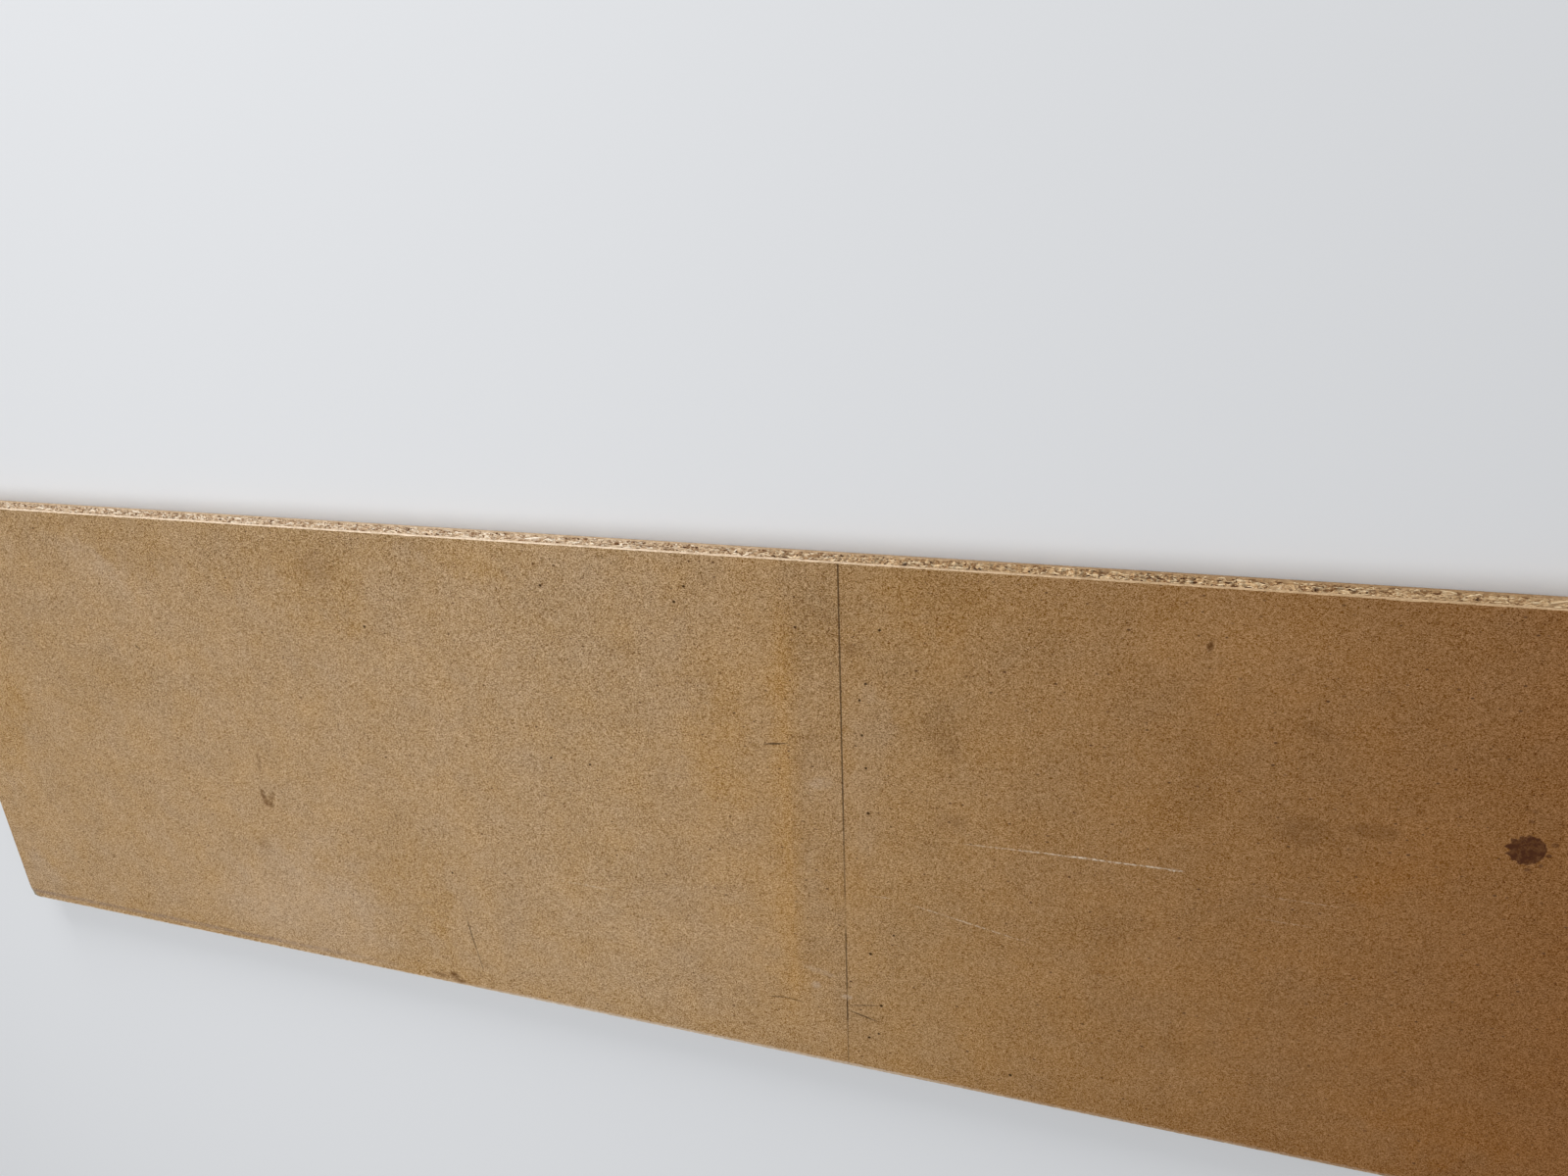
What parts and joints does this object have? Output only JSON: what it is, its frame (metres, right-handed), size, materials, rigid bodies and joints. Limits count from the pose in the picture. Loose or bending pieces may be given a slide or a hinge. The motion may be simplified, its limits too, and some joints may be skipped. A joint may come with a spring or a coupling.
{
  "type": "particle board",
  "caption": "Flat rectangular sheet of raw particle board, sanded on both faces, with plain sawn edges that show the coarse core between fine outer layers.",
  "frame": {"origin": "middle of the underside, on the surface that the sheet lies on", "axes": "+X along the length, +Y across the width towards the long edge that is uppermost in the picture, +Z out of the pictured face"},
  "size_m": [2.44, 0.61, 0.032],
  "materials": {
    "particle_board": "sanded, matt"
  },
  "bodies": {
    "root": {"particle_board": "particle_board"}
  },
  "joints": []
}
